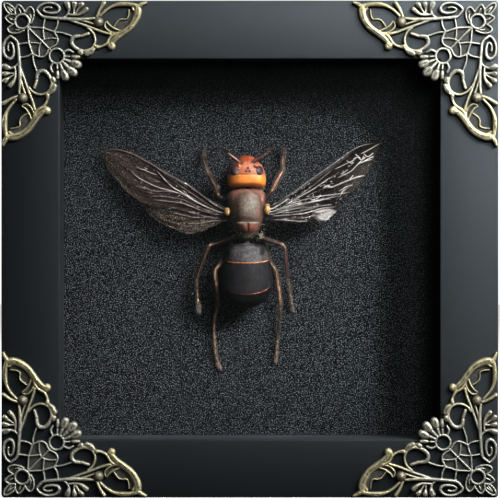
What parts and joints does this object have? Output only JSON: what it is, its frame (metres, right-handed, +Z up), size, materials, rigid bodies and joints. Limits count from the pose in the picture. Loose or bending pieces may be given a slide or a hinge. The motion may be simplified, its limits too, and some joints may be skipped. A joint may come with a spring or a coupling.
{
  "type": "framed hornet",
  "caption": "Square black shadow box frame with cast corner ornaments, holding a spread hornet behind glass.",
  "frame": {"origin": "middle of the base, under the middle of the whole object's depth", "axes": "+Z up, -Y out of the glazed front, +X to the right as seen from the front"},
  "size_m": [0.152, 0.0324, 0.152],
  "materials": {
    "frame": "satin black paint",
    "glass": "clear",
    "liner": "matte black card",
    "backing": "black grained paper",
    "board": "bare fibreboard",
    "fixings": "zinc plated",
    "ornament": "antique bronze",
    "orange_shell": "smooth insect shell",
    "brown_shell": "fine haired insect shell",
    "black_shell": "smooth insect shell",
    "legs": "haired insect shell",
    "wings": "smoky clear film"
  },
  "bodies": {
    "root": {"rail_bottom": "frame", "rail_right": "frame", "rail_top": "frame", "rail_left": "frame", "glass_pane": "glass", "liner_bottom": "liner", "liner_top": "liner", "liner_left": "liner", "liner_right": "liner", "backing_card": "backing", "back_board": "board", "back_tab_left": "fixings", "back_tab_right": "fixings", "back_tab_top": "fixings", "back_tab_bottom": "fixings", "hanger": "fixings", "hanger_nail_left": "fixings", "hanger_nail_right": "fixings", "corner_ornament_top_left": "ornament", "corner_ornament_top_right": "ornament", "corner_ornament_bottom_right": "ornament", "corner_ornament_bottom_left": "ornament", "head": "orange_shell", "thorax": "brown_shell", "abdomen": "black_shell", "antenna_left": "legs", "antenna_right": "legs", "foreleg_left": "legs", "foreleg_right": "legs", "midleg_left": "legs", "midleg_right": "legs", "hindleg_left": "legs", "hindleg_right": "legs", "forewing_left": "wings", "hindwing_left": "wings", "forewing_right": "wings", "hindwing_right": "wings"}
  },
  "joints": []
}
